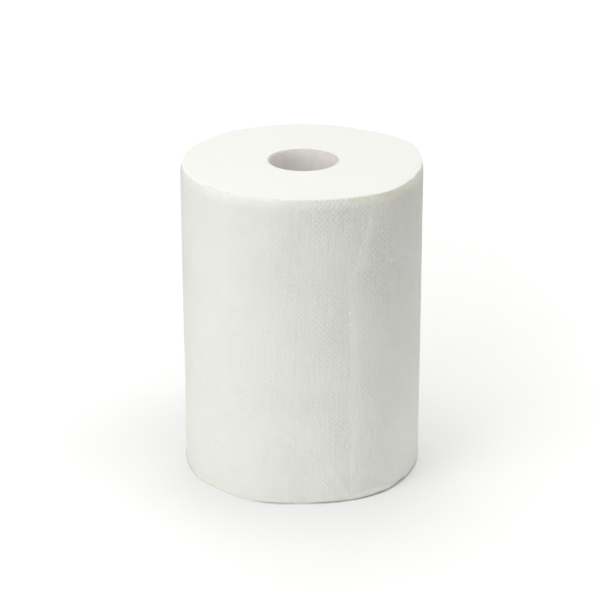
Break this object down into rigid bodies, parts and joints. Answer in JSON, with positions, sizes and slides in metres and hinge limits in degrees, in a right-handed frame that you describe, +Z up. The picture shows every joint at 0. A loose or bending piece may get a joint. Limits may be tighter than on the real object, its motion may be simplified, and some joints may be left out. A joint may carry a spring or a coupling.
{
  "type": "paper towel roll",
  "caption": "Upright roll of embossed white paper towel wound on a round paperboard core, with a loose outer end and an open bore for a spindle.",
  "frame": {"origin": "on the core's axis, at the surface that the roll stands on", "axes": "+Z up along the core's axis; the web's loose end is on the -Y side"},
  "size_m": [0.1504, 0.1518, 0.2],
  "materials": {
    "towel_paper": "matt white two-ply tissue, embossed with small staggered dots",
    "core_board": "spiral-wound paperboard, grey liner inside, brown kraft at the cut ends"
  },
  "bodies": {
    "root": {"wound_paper": "towel_paper", "core_tube": "core_board"}
  },
  "joints": []
}
